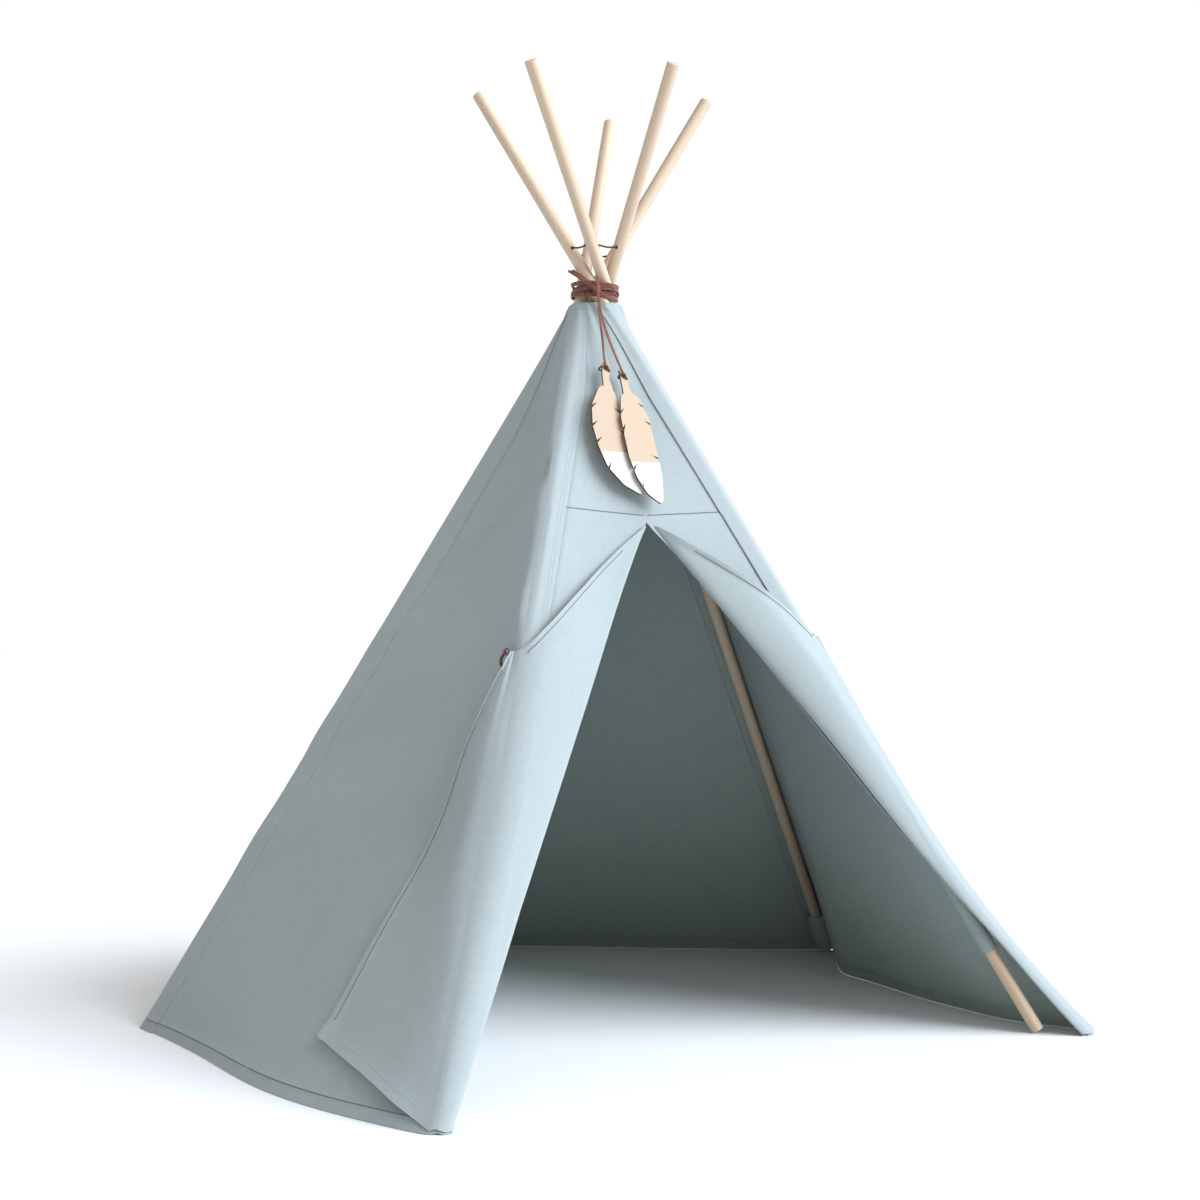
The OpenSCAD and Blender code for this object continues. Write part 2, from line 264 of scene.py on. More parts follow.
def strip(name, path, face, width, thickness, ring=False, round_power=0.55, sides=12):
    """A flat strap along path; face is the direction, or directions, that its flat side looks to."""
    path = np.asarray(path, float)
    n = len(path)
    if ring:
        t = unit(np.roll(path, -1, axis=0) - np.roll(path, 1, axis=0))
    else:
        t = unit(np.gradient(path, axis=0))
    face = np.broadcast_to(np.asarray(face, float), path.shape)
    side = unit(np.cross(t, face))
    out = unit(np.cross(side, t))
    width = np.broadcast_to(np.asarray(width, float), (n,))
    thickness = np.broadcast_to(np.asarray(thickness, float), (n,))
    ang = round_angles(sides)
    cx = np.sign(np.cos(ang)) * np.abs(np.cos(ang)) ** round_power
    cy = np.sign(np.sin(ang)) * np.abs(np.sin(ang)) ** round_power
    over = cx[None, :, None] * width[:, None, None] / 2
    up = cy[None, :, None] * thickness[:, None, None] / 2
    verts = path[:, None] + side[:, None] * over + out[:, None] * up
    length = lengths_along(path)
    uvs = np.stack(np.broadcast_arrays(length[:, None], cx[None, :] * STRIP_UV), axis=-1)
    faces = []
    last = n if ring else n - 1
    for i in range(last):
        m = (i + 1) % n
        for j in range(sides):
            k = (j + 1) % sides
            faces.append((i * sides + j, i * sides + k, m * sides + k, m * sides + j))
    if not ring:
        faces.append(tuple(range(sides)))
        faces.append(tuple(range(n * sides - 1, (n - 1) * sides - 1, -1)))
    return add_object(name, verts.reshape(-1, 3), faces, uvs.reshape(-1, 2))


def smooth_path(points, count):
    """A smooth curve through points, evenly spaced."""
    p = np.asarray(points, float)
    p = np.vstack([2 * p[0] - p[1], p, 2 * p[-1] - p[-2]])
    out = []
    for i in range(1, len(p) - 2):
        for t in np.linspace(0, 1, 24, endpoint=False):
            a, b, c, d = p[i - 1], p[i], p[i + 1], p[i + 2]
            square = (2 * a - 5 * b + 4 * c - d) * t**2
            cube = (3 * b - a - 3 * c + d) * t**3
            out.append(0.5 * (2 * b + (c - a) * t + square + cube))
    out.append(p[-2])
    out = np.array(out)
    length = lengths_along(out)
    want = np.linspace(0, length[-1], count)
    return np.stack([np.interp(want, length, out[:, i]) for i in range(3)], axis=-1)


def lengths_along(p):
    return np.concatenate([[0], np.cumsum(np.linalg.norm(np.diff(p, axis=0), axis=-1))])


def smoothstep(x):
    x = np.clip(x, 0, 1)
    return x * x * (3 - 2 * x)


# ---------------------------------------------------------------- materials
def rgb(r, g, b):
    """A colour written as 0 to 255 in sRGB, as the linear values that a shader takes."""
    return tuple(((c / 255 + 0.055) / 1.055) ** 2.4 for c in (r, g, b)) + (1.0,)


class Shader:
    """A short way to write a node material. A source is a node, with the name or number of its output."""

    def __init__(self, name, settings):
        self.mat = bpy.data.materials.new(name)
        self.mat.use_nodes = True
        self.tree = self.mat.node_tree
        self.tree.nodes.clear()
        out = self.add("ShaderNodeOutputMaterial")
        self.bsdf = self.add("ShaderNodeBsdfPrincipled", settings)
        self.feed((self.bsdf, "BSDF"), out, "Surface")

    def add(self, kind, sets=None, **values):
        n = self.tree.nodes.new(kind)
        for k, v in values.items():
            setattr(n, k, v)
        for k, v in (sets or {}).items():
            n.inputs[k].default_value = v
        return n

    def feed(self, v, node, into):
        """Gives a node's input a source, or else a plain value or colour."""
        if isinstance(v, tuple) and hasattr(v[0], "outputs"):
            self.tree.links.new(v[0].outputs[v[1]], node.inputs[into])
        else:
            node.inputs[into].default_value = v

    def math(self, op, *terms):
        n = self.add("ShaderNodeMath", operation=op)
        for i, v in enumerate(terms):
            self.feed(v, n, i)
        return (n, 0)

    def clamped(self, v):
        n = self.add("ShaderNodeClamp")
        self.feed(v, n, "Value")
        return (n, 0)

    def mix(self, factor, a, b):
        n = self.add("ShaderNodeMix", data_type="RGBA")
        for i, v in ((0, factor), (6, a), (7, b)):
            self.feed(v, n, i)
        return (n, 2)

    def noise(self, coords, scale, detail=3.0, stretch=(1, 1, 1)):
        m = self.add("ShaderNodeMapping", {"Scale": stretch})
        self.feed(coords, m, "Vector")
        n = self.add("ShaderNodeTexNoise", {"Scale": scale, "Detail": detail})
        self.feed((m, "Vector"), n, "Vector")
        return (n, "Fac")

    def bump(self, height, strength, distance):
        n = self.add("ShaderNodeBump", {"Strength": strength, "Distance": distance})
        self.feed(height, n, "Height")
        self.feed((n, "Normal"), self.bsdf, "Normal")

    def colour(self, c):
        self.feed(c, self.bsdf, "Base Color")

    def coords(self, which):
        return (self.add("ShaderNodeTexCoord"), which)


def canvas_material(name, light, dark):
    """Plain-weave cotton: threads both ways, slubs, and slow changes of tone."""
    s = Shader(name, {
        "Roughness": 0.92, "Specular IOR Level": 0.18, "Sheen Weight": 0.12, "Sheen Roughness": 0.5,
    })
    uv = s.coords("UV")
    sep = s.add("ShaderNodeSeparateXYZ")
    s.feed(uv, sep, 0)
    wave = 2 * math.pi / THREAD
    warp = s.math("SINE", s.math("MULTIPLY", (sep, 0), wave))
    weft = s.math("SINE", s.math("MULTIPLY", (sep, 1), wave))
    weave = s.math("MULTIPLY", warp, weft)
    slub_u = s.noise(uv, 1.0, 2.0, (900, 45, 1))
    slub_v = s.noise(uv, 1.0, 2.0, (45, 900, 1))
    slub = s.math("ADD", slub_u, slub_v)
    broad = s.noise(uv, 5.0, 3.0)
    tone = s.math("MULTIPLY_ADD", slub, 0.9, -0.4)
    tone = s.math("MULTIPLY_ADD", weave, 0.06, tone)
    tone = s.math("MULTIPLY_ADD", broad, 0.35, s.math("SUBTRACT", tone, 0.17))
    s.colour(s.mix(s.clamped(tone), dark, light))
    height = s.math("MULTIPLY_ADD", slub, 0.6, s.math("MULTIPLY", weave, 0.5))
    s.bump(height, 0.35, 0.0004)
    return s.mat


def thread_material(name, colour):
    s = Shader(name, {"Roughness": 0.8})
    n = s.noise(s.coords("Object"), 900.0)
    s.colour(s.mix(n, colour, tuple(c * 0.8 for c in colour[:3]) + (1,)))
    s.bump(n, 0.3, 0.0003)
    return s.mat


def wood_material(name, origin, direction, light, dark):
    """Pine: long fibres and faint growth bands along the pole."""
    s = Shader(name, {"Specular IOR Level": 0.35})
    m = s.add("ShaderNodeMapping", {
        "Location": Vector(origin), "Rotation": Vector(direction).to_track_quat("Z", "Y").to_euler(),
    }, vector_type="TEXTURE")
    s.feed(s.coords("Object"), m, "Vector")
    local = (m, "Vector")
    bands = s.noise(local, 1.0, 2.0, (170, 170, 3.5))
    fibre = s.noise(local, 1.0, 4.0, (900, 900, 14))
    pores = s.noise(local, 1.0, 2.0, (2400, 2400, 60))
    tone = s.math("MULTIPLY_ADD", bands, 1.5, -0.5)
    tone = s.math("MULTIPLY_ADD", fibre, 0.45, s.math("SUBTRACT", tone, 0.2))
    s.colour(s.mix(s.clamped(tone), light, dark))
    s.feed(s.math("MULTIPLY_ADD", pores, 0.2, 0.48), s.bsdf, "Roughness")
    s.bump(s.math("ADD", fibre, pores), 0.05, 0.0002)
    return s.mat


def leather_material(name, light, dark):
    """Suede lace: short nap, darker in the hollows."""
    s = Shader(name, {"Roughness": 0.85, "Sheen Weight": 0.2})
    obj = s.coords("Object")
    nap = s.noise(obj, 1400.0, 4.0)
    patch = s.noise(obj, 130.0, 3.0)
    tone = s.math("MULTIPLY_ADD", patch, 1.6, s.math("MULTIPLY_ADD", nap, 0.7, -0.65))
    s.colour(s.mix(s.clamped(tone), dark, light))
    s.bump(nap, 0.5, 0.0004)
    return s.mat


CANVAS = canvas_material("canvas", rgb(168, 176, 176), rgb(150, 158, 158))
# A darker copy of the canvas: painted shade for the cover's inner faces and the front poles' sleeves.
CANVAS_PAINTED_SHADE = canvas_material("canvas_painted_shade", rgb(156, 167, 163), rgb(136, 147, 143))
THREADS = thread_material("canvas_thread", rgb(186, 196, 198))
# Dark stitching; on the front-right seam and along the flaps' free edges its rows also paint the shadow
# line.
THREADS_DARK_AND_PAINTED_SHADE = thread_material("canvas_thread_dark_and_painted_shade", rgb(84, 98, 102))
LEATHER = leather_material("suede", rgb(138, 82, 62), rgb(92, 50, 36))
LEATHER_DARK = leather_material("dark_suede", rgb(100, 56, 42), rgb(58, 30, 22))
CORD = thread_material("dark_cord", rgb(74, 44, 36))


def dress(obj, material):
    obj.data.materials.clear()
    obj.data.materials.append(material)
    return obj


def place(obj, body, slot, *nodes):
    """Puts a piece on the body that it rides on and hides the CAD nodes that it stands for; slot is not
    used.
    """
    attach(obj, body)
    if nodes:
        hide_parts(*nodes)
    return obj


# ---------------------------------------------------------------- cords: the two hanging ends of the lace
fl, fr = "front_left", "front_right"
front_gap = math.acos(float(RADIAL[fl] @ RADIAL[fr]))
FRONT_SLOPE = math.atan(BASE_R * math.cos(front_gap / 2) / WAIST_H)
FRONT_NORMAL = np.array([0, -math.cos(FRONT_SLOPE), math.sin(FRONT_SLOPE)])


def front_plane(x, z, h):
    return np.array([x, AXIS[1] - (WAIST_H - z) * math.tan(FRONT_SLOPE), z]) + FRONT_NORMAL * h


HANG = {"left": (-0.032, 0.937, 0.0255), "right": (-0.010, 0.923, 0.0325)}
KNOT_OFF = 0.0044
FRONT_UP = np.array([0, math.sin(FRONT_SLOPE), math.cos(FRONT_SLOPE)])
LACE_ROUTE = {
    "left": [
        (-0.020, 1.058, 0.0375), (-0.022, 1.046, 0.0370), (-0.024, 1.030, 0.0350),
        (-0.026, 1.002, 0.0325), (-0.0285, 0.970, 0.0305), (-0.032, 0.941, 0.0295),
    ],
    "right": [
        (-0.021, 1.058, 0.0425), (-0.023, 1.046, 0.0425), (-0.026, 1.030, 0.0415),
        (-0.0275, 1.002, 0.0400), (-0.024, 0.970, 0.0385), (-0.017, 0.939, 0.0370),
    ],
}
LACE_TURN = {"left": 0.25, "right": -0.2}
LACE_TURN_LOW = -0.15
HITCH_REACH = {"left": -0.0048, "right": -0.7 * 0.0048}
HITCH_UP, HITCH_OUT = 0.0012, 0.0040
HITCH_SIZE = (0.0030, 0.0014)
KNOT_BENDS = [
    (-0.0030, 0, 0.0022), (0.0004, -0.0006, 0.0010), (0.0018, -0.0004, -0.0016),
    (0.0042, 0.0002, -0.0040), (0.0058, 0.0008, -0.0062),
]
KNOT_WIDTH, KNOT_T = np.linspace(0.0042, 0.0030, 20), np.linspace(0.0034, 0.0016, 20)


def hang_point(side):
    x, z, h = HANG[side]
    return front_plane(x, z - FEATHER_DOWN * math.cos(FRONT_SLOPE), h)


for side in ("left", "right"):
    body = "feather_" + side
    hole = hang_point(side)
    route = [front_plane(*p) for p in LACE_ROUTE[side]] + [hole + FRONT_NORMAL * KNOT_OFF]
    path = smooth_path(route, 36)
    turn = np.linspace(LACE_TURN[side], LACE_TURN_LOW, len(path))
    face = np.array([FRONT_NORMAL * math.cos(a) + RIGHT * math.sin(a) for a in turn])
    lace = dress(strip("lace_end_" + side, path, face, LACE_W - 0.0004, LACE_T), LEATHER)
    place(lace, body, "leather_lace", "lace_" + side)
    # The hitch through the feather's hole: a turn over the edge, and a small knot on the face.
    loop = []
    for a in round_angles(20):
        aside = RIGHT * HITCH_REACH[side] * (1 - math.cos(a))
        loop.append(hole + aside + (FRONT_UP * HITCH_UP + FRONT_NORMAL * HITCH_OUT) * math.sin(a))
    hitch = dress(strip("lace_hitch_" + side, loop, (0, 0.2, 1.0), *HITCH_SIZE, ring=True), LEATHER_DARK)
    place(hitch, body, "leather_lace")
    knot_path = smooth_path([hole + FRONT_NORMAL * KNOT_OFF + np.array(v) for v in KNOT_BENDS], 20)
    knot = dress(strip("lace_knot_" + side, knot_path, FRONT_NORMAL, KNOT_WIDTH, KNOT_T), LEATHER_DARK)
    place(knot, body, "leather_lace", "feather_knot_" + side)


# ---------------------------------------------------------------- stage and light
def add_floor():
    h = FLOOR_HALF
    m = bpy.data.meshes.new("floor")
    m.from_pydata([(-h, -h, 0.0), (h, -h, 0.0), (h, h, 0.0), (-h, h, 0.0)], [], [(0, 1, 2, 3)])
    o = bpy.data.objects.new("floor", m)
    bpy.context.scene.collection.objects.link(o)
    s = Shader("floor", {"Roughness": 0.9, "Specular IOR Level": 0.1})
    n = s.noise(s.coords("Object"), 3.0)
    s.colour(s.mix(n, FLOOR_COLOUR, tuple(c * 0.985 for c in FLOOR_COLOUR[:3]) + (1,)))
    o.data.materials.append(s.mat)


def light_world():
    """Soft light from all round, stronger from above, behind a plain white backdrop."""
    world = bpy.data.worlds.new("studio")
    world.use_nodes = True
    bpy.context.scene.world = world
    tree = world.node_tree
    new, link = tree.nodes.new, tree.links.new
    studio = tree.nodes["Background"]
    studio.inputs["Strength"].default_value = WORLD_LIGHT
    coord, sep = new("ShaderNodeTexCoord"), new("ShaderNodeSeparateXYZ")
    ramp = new("ShaderNodeValToRGB")
    link(coord.outputs["Generated"], sep.inputs[0])
    link(sep.outputs[2], ramp.inputs["Fac"])
    low, full = ramp.color_ramp.elements
    low.position, low.color = 0.0, SKY_LOW
    full.position, full.color = SKY_FULL_AT, WHITE
    link(ramp.outputs["Color"], studio.inputs["Color"])
    white = new("ShaderNodeBackground")
    white.inputs["Color"].default_value = WHITE
    white.inputs["Strength"].default_value = 1.0
    path, mix = new("ShaderNodeLightPath"), new("ShaderNodeMixShader")
    link(path.outputs["Is Camera Ray"], mix.inputs["Fac"])
    link(studio.outputs["Background"], mix.inputs[1])
    link(white.outputs["Background"], mix.inputs[2])
    link(mix.outputs["Shader"], tree.nodes["World Output"].inputs["Surface"])


add_floor()
light_world()
bpy.context.scene.view_settings.view_transform = "Standard"

key_data = bpy.data.lights.new("key", "SUN")
key_data.energy = KEY_POWER
key_data.angle = KEY_SOFT
key_data.color = KEY_COLOUR
key = bpy.data.objects.new("key", key_data)
bpy.context.scene.collection.objects.link(key)
key.rotation_euler = Vector(KEY_FROM).to_track_quat("Z", "Y").to_euler()

# ---------------------------------------------------------------- the cover's surface
PANELS = {
    "front": (fl, fr), "side_right": (fr, "right"), "back_right": ("right", "back"),
    "back_left": ("back", "left"), "side_left": ("left", fl),
}


def slope_of(a, b):
    return math.atan(BASE_R * math.cos(math.acos(float(RADIAL[a] @ RADIAL[b])) / 2) / WAIST_H)


def other_pole(panel, pole):
    a, b = PANELS[panel]
    return b if pole == a else a


def outward(panel, z):
    a, b = PANELS[panel]
    c = unit(at(b, z) - at(a, z))
    flat = np.stack([c[..., 1], -c[..., 0], np.zeros_like(c[..., 0])], axis=-1)
    tilt = slope_of(a, b)
    return flat * math.cos(tilt) + UP * math.sin(tilt)


def panel_normal(panel):
    return outward(panel, np.array([0.4]))[0]


RIDGE_PANELS = {
    fl: ("side_left", "front"), fr: ("front", "side_right"), "right": ("side_right", "back_right"),
    "back": ("back_right", "back_left"), "left": ("back_left", "side_left"),
}
HALF_BEND = {}
for name, (p, q) in RIDGE_PANELS.items():
    HALF_BEND[name] = math.acos(float(panel_normal(p) @ panel_normal(q))) / 2

# How far the cover's two loose corners stand out from the poles' feet, up to what height, and how far
# along each panel.
FLARE = {fl: (-0.024, -0.034, 0.0), fr: (0.056, -0.030, 0.0)}
FLARE_H = {fl: 0.36, fr: 0.34}
FLARE_W = {fl: {"side_left": 0.34, "front": 0.2}, fr: {"side_right": 0.06, "front": 0.2}}

# The panels' sag, and their soft folds: height, waves along x and z, phase.
SAG = {
    "front": -0.004, "side_left": -0.010, "side_right": -0.012, "back_right": -0.010, "back_left": -0.010,
}
WAVES = {
    "front": [(0.0022, 21, 9, 0.5)],
    "side_left": [(0.0040, 13, -9, 0.4), (0.0024, 9, 24, 1.9)],
    "side_right": [(0.0035, 15, 4, 1.0), (0.0020, 24, -12, 0.0)],
    "back_right": [(0.0030, 12, 8, 1.3), (0.0016, 26, -17, 0.0)],
    "back_left": [(0.0030, -12, 8, 1.3), (0.0016, 26, 17, 0.0)],
}
# Creases: height, middle x and z, reach along and across, turn.
CREASES = {
    "side_left": [
        (-0.0080, 0.02, 0.72, 0.16, 0.024, 0.75), (0.0070, -0.02, 0.66, 0.15, 0.022, 0.72),
        (0.0070, -0.03, 0.50, 0.20, 0.030, 0.50), (-0.0070, -0.04, 0.44, 0.22, 0.030, 0.42),
        (0.0060, -0.06, 0.33, 0.22, 0.035, 0.35),
    ],
    "back_right": [(0.0030, 0.05, 0.45, 0.20, 0.03, 0.5)],
    "back_left": [(0.0030, -0.05, 0.45, 0.20, 0.03, -0.5)],
}


def bump_at(x, z, x0, z0, sx, sz, turn):
    c, s = math.cos(turn), math.sin(turn)
    u = (x - x0) * c + (z - z0) * s
    v = -(x - x0) * s + (z - z0) * c
    return np.exp(-((u / sx) ** 2) - (v / sz) ** 2)


def lift_of(panel, t, z, chord):
    """How far the cloth lies off its flat panel: sag between the poles, soft folds and creases."""
    x = (t - 0.5) * chord
    mid = 4 * t * (1 - t)
    near = smoothstep((TOP_H - z) / 0.25)
    out = SAG[panel] * mid * near
    for height, along, up, phase in WAVES[panel]:
        out += height * np.sin(x * along + z * up + phase) * mid * near
    for height, *where in CREASES.get(panel, ()):
        out += height * bump_at(x, z, *where)
    if panel == "front":
        gathered = smoothstep((z - 0.80) / 0.18) * smoothstep((TOP_H - z) / 0.03)
        out += 0.0016 * np.sin(x * 95 + 0.6) * mid * gathered
    elif panel == "side_left":
        # The foot of the panel bellies out, and steep folds run above it.
        out += 0.046 * mid * (0.6 + 0.8 * t) * np.clip(1 - z / 0.48, 0, 1) ** 1.6
        out += 0.0016 * np.sin(x * 31 - z * 22 + 2.2) * mid * near * smoothstep((z - 0.30) / 0.3)
    elif panel == "side_right":
        # The foot of the panel falls in, most of all beside the right pole.
        kink = np.where(t < 0.70, t / 0.70, (1 - t) / 0.30)
        kink = kink * kink * (3 - 2 * kink) * 0.45 + kink * 0.55
        out += -0.062 * kink * np.clip(1 - z / 0.62, 0, 1) ** 1.25
    # Fine folds that gather under the lacing.
    out += 0.0012 * np.sin(t * 19 + 1.0) * smoothstep((z - 0.93) / 0.08) * mid
    return out


def ridge_circle(pole, ridge, round_r):
    """Reach and drop of the soft bend round a pole: ridge is its distance from the pole's line."""
    back = round_r - ridge
    half = HALF_BEND[pole]
    return back * math.sin(half), back * math.cos(half)


def surface(panel, pole, s, z, lift, ridge, round_r):
    """Points on the cover: s is how far they are from the pole along the panel, below 0 round the pole."""
    other = other_pole(panel, pole)
    n = outward(panel, z)
    reach, drop = ridge_circle(pole, ridge, round_r)
    turn = np.clip((reach - s) / round_r, 0, 0.999)
    bend = round_r * np.sqrt(1 - turn**2) - drop
    settle = smoothstep((s - reach) / BEND_SETTLES)
    flat_h = (round_r - drop) + (ridge - (round_r - drop)) * settle
    fade = np.clip((s + ridge * math.sin(HALF_BEND[pole])) / 0.008, 0, 1)
    h = np.where(s < reach, bend, flat_h) + lift * fade
    low = z - h * n[..., 2]
    p, q = at(pole, low), at(other, low)
    share_of_width = np.maximum(s, 0) / chord_of(panel, z)
    d = DIR[pole]
    c = unit(q - p)
    square = unit(c - (c @ d)[..., None] * d)
    n_here = np.where((s < 0)[..., None], unit(n - (n @ d)[..., None] * d), n)
    out = p + (q - p) * share_of_width[..., None] + n_here * h[..., None]
    out = out + square * np.minimum(s, 0)[..., None]
    for end, gap in ((pole, np.maximum(s, 0)), (other, chord_of(panel, z) - s)):
        if end not in FLARE:
            continue
        wide = FLARE_W[end].get(panel, 0.12)
        g = np.clip(1 - z / FLARE_H[end], 0, 1) ** 2.2 * np.exp(-((gap / wide) ** 2))
        out = out + g[..., None] * np.array(FLARE[end])
    return out


def chord_of(panel, z):
    a, b = PANELS[panel]
    return np.linalg.norm(at(b, z) - at(a, z), axis=-1)


def cover_lift(panel, pole, s, z):
    """The cover's lift at places along a panel, counted from either of its poles."""
    chord = chord_of(panel, z)
    t = np.clip(np.maximum(s, 0) / chord, 0, 1)
    t = t if pole == PANELS[panel][0] else 1 - t
    return lift_of(panel, t, z, chord)


def round_for(width, ridge, round_r):
    """The bend's radius, smaller where the panel is narrow."""
    return ridge + np.minimum(round_r - ridge, 0.75 * np.maximum(width, 0.004))


def arc_places(pole, ridge, round_r, count):
    """Places round the bend at each height, from its middle to where it meets the panel."""
    back = (round_r - ridge) * math.sin(HALF_BEND[pole])
    turn = np.linspace(HALF_BEND[pole], 0, count)
    return back[:, None] - round_r[:, None] * np.sin(turn)[None, :]


def columns(width, arc, seam):
    """Column places: the bend, then places beside the seam, then even steps to the far edge."""
    near = np.array([0.010, seam - 0.0115, seam - 0.007, seam - 0.0012, seam, seam + 0.0012, seam + 0.008])
    far = max(6, int(math.ceil((width.max() - near[-1]) / COLUMN_STEP)))
    start = arc[:, -1:]
    scale = np.minimum(1, width / 0.075)[:, None]
    fixed = start + (near[None, :] - 0.0072) * scale
    span = np.maximum(width[:, None] - fixed[:, -1:], 0.0004)
    rest = fixed[:, -1:] + span * (np.arange(1, far + 1) / far)[None, :]
    return np.concatenate([arc, fixed, rest], axis=1), arc.shape[1] + 3


def seam_ridge(count, col, rise):
    """The felled seam beside a pole stands proud, out to its stitched edge, with a small groove beyond."""
    k = np.arange(count)
    return rise * (k <= col) - 0.6 * rise * (k == col + 1)


HALVES = [
    ("front", fl), ("front", fr), ("side_right", fr), ("side_right", "right"),
    ("back_right", "right"), ("back_right", "back"), ("back_left", "back"), ("back_left", "left"),
    ("side_left", "left"), ("side_left", fl),
]
# Seamed halves: how far the seam is from the pole, how proud it stands, and its threads' colour; the
# front-right seam's dark threads also paint the shadow line in its groove.
SEAMED = {
    ("front", fl): (SEAM_AT, SEAM_RISE, THREADS), ("front", fr): (SEAM_AT, SEAM_BOLD, THREADS_DARK_AND_PAINTED_SHADE),
    ("side_left", "left"): (SEAM_WIDE, SEAM_BOLD, THREADS_DARK_AND_PAINTED_SHADE),
    ("back_right", "right"): (SEAM_AT, SEAM_RISE, THREADS),
    ("back_left", "back"): (SEAM_AT, SEAM_RISE, THREADS),
}
CAD_OF = {
    ("front", fl): ["front_upper_panel", "front_left_gore"], ("front", fr): ["front_right_gore"],
    ("side_right", fr): ["side_right_panel"], ("back_right", "right"): ["back_right_panel"],
    ("back_left", "back"): ["back_left_panel"], ("side_left", fl): ["side_left_panel"],
}


def folded_share(panel):
    """How much of a panel's width is left when the poles are folded together."""
    def foot(name):
        turn = Matrix.Rotation(-FOLD_ANGLE, 3, Vector(TANGENT[name]))
        test = Vector(FOOT[name] - WAIST[name])
        one, two = turn @ test, turn.inverted() @ test
        best = one if one.xy.length < two.xy.length else two
        return np.array(best) + WAIST[name]
    a, b = PANELS[panel]
    return float(np.linalg.norm(foot(a) - foot(b)) / np.linalg.norm(FOOT[a] - FOOT[b]))


def across(panel, pole):
    """The direction in the panel's plane that is square to the pole."""
    c = unit(FOOT[other_pole(panel, pole)] - FOOT[pole])
    return unit(c - (c @ DIR[pole]) * DIR[pole])


def fold_with(obj, panel, pole):
    axis, keep = across(panel, pole), folded_share(panel)
    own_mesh(obj)


def gore_width(pole, z):
    low = DOOR_LOW[pole]
    half = chord_of("front", np.array([DOOR_H]))[0] / 2
    main = np.maximum(half * (z - low) / (DOOR_H - low), 0.0015)
    if pole == fl:
        return main + FOOT_COVER * np.clip(1 - z / 0.22, 0, 1)
    return np.hypot(main, FOOT_ROLL * np.clip(1 - z / 0.5, 0, 1))


def roll_size(pole, width):
    """Width and depth of the soft roll along the door's edge."""
    wide, deep = ROLL[pole]
    k = np.minimum(1, width / (wide * 1.8))
    return wide * k, np.maximum(deep * k, FLAP_GAP * 0.7)


def heights(low, top, step, extra):
    count = max(2, int(round((top - low) / step)))
    return np.unique(np.round(np.concatenate([np.linspace(low, top, count + 1), extra]), 6))


# One stitch: its corners as shares of its half length and thickness, and its faces.
STITCH = [
    (-1, 0, -0.3), (-0.6, 1, 0.1), (-0.6, 0, 1), (-0.6, -1, 0.1),
    (0.6, 1, 0.1), (0.6, 0, 1), (0.6, -1, 0.1), (1, 0, -0.3),
]
STITCH_FACES = [
    (0, 2, 1), (0, 3, 2), (1, 2, 5, 4), (2, 3, 6, 5), (7, 4, 5), (7, 5, 6), (0, 1, 4, 7), (0, 7, 6, 3),
]


def stitches(name, body, sheet, panel, pole, thread, part, over=STITCH_OVER):
    """A row of stitches on the cloth; sheet is its points and normals, and part picks the row's places."""
    pts, outs = sheet[0][part] + sheet[1][part] * over, sheet[1][part]
    length = lengths_along(pts)

    def along(values, places):
        return np.stack([np.interp(places, length, values[:, i]) for i in range(3)], axis=-1)

    count = int(length[-1] / STITCH_PITCH)
    mids = (np.arange(count) + 0.5) * STITCH_PITCH
    p, o = along(pts, mids), unit(along(outs, mids))
    t = unit(along(pts, mids + 0.001) - along(pts, mids - 0.001))
    side = np.cross(t, o)
    size, thick = BOLD_STITCH if thread == THREADS_DARK_AND_PAINTED_SHADE else FINE_STITCH
    half = size / 2
    verts, faces, uvs = [], [], []
    for i in range(count):
        k = len(verts)
        for a, b, c in STITCH:
            verts.append(p[i] + t[i] * a * half + side[i] * b * thick * 0.7 + o[i] * c * thick)
            uvs.append((a * half, b * thick))
        faces += [tuple(k + q for q in f) for f in STITCH_FACES]
    obj = place(dress(add_object("stitches_" + name, verts, faces, uvs), thread), body, "canvas")
    fold_with(obj, panel, pole)
    return obj


